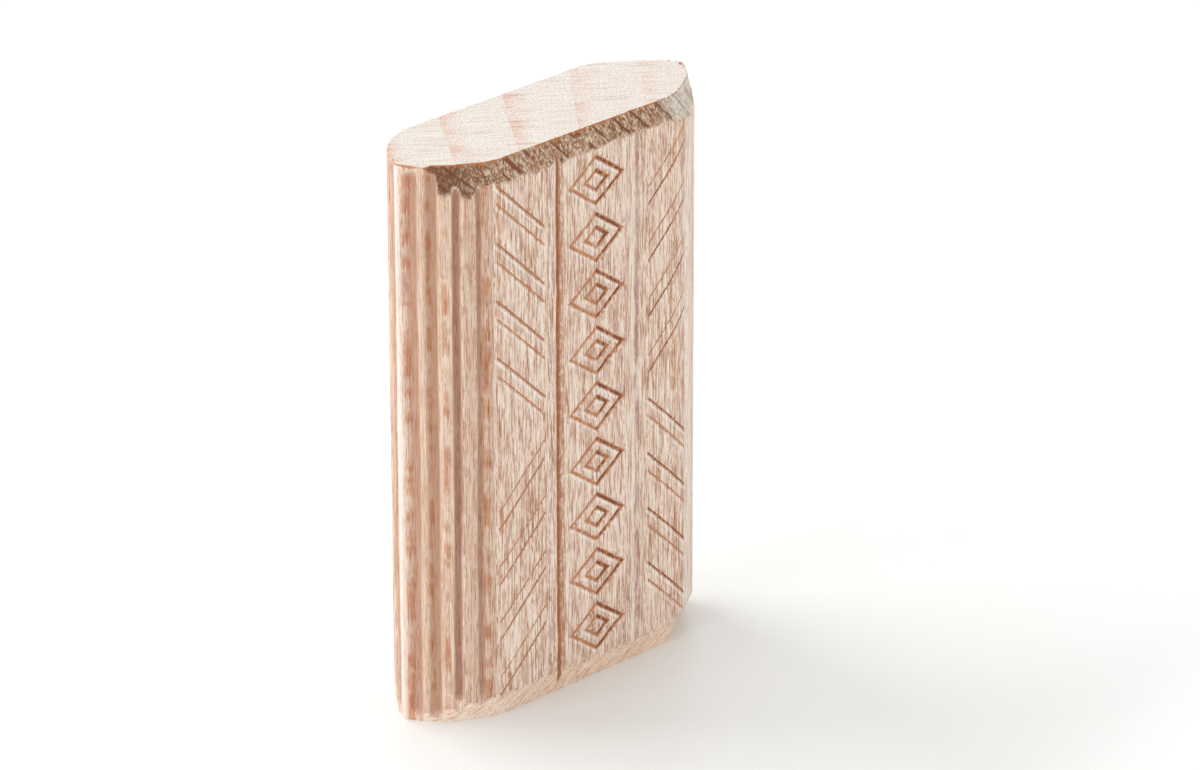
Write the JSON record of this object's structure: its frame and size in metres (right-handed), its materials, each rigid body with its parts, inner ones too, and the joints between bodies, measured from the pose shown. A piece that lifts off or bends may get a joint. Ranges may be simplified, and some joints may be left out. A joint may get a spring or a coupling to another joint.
{
  "type": "loose tenon",
  "caption": "Flat wooden loose tenon with rounded, fluted edges, chamfered ends and pressed glue grooves on both broad faces.",
  "frame": {"origin": "centre of the lower end face, on the surface that the tenon stands on", "axes": "+Z along the grain from the lower end to the upper end, +X along the width, +Y through the thickness, away from the broad face that the picture shows"},
  "size_m": [0.0234, 0.008, 0.036],
  "materials": {
    "beech": "bare machined beech, matt, with bright end grain and fine ray flecks"
  },
  "bodies": {
    "root": {"tenon": "beech"}
  },
  "joints": []
}
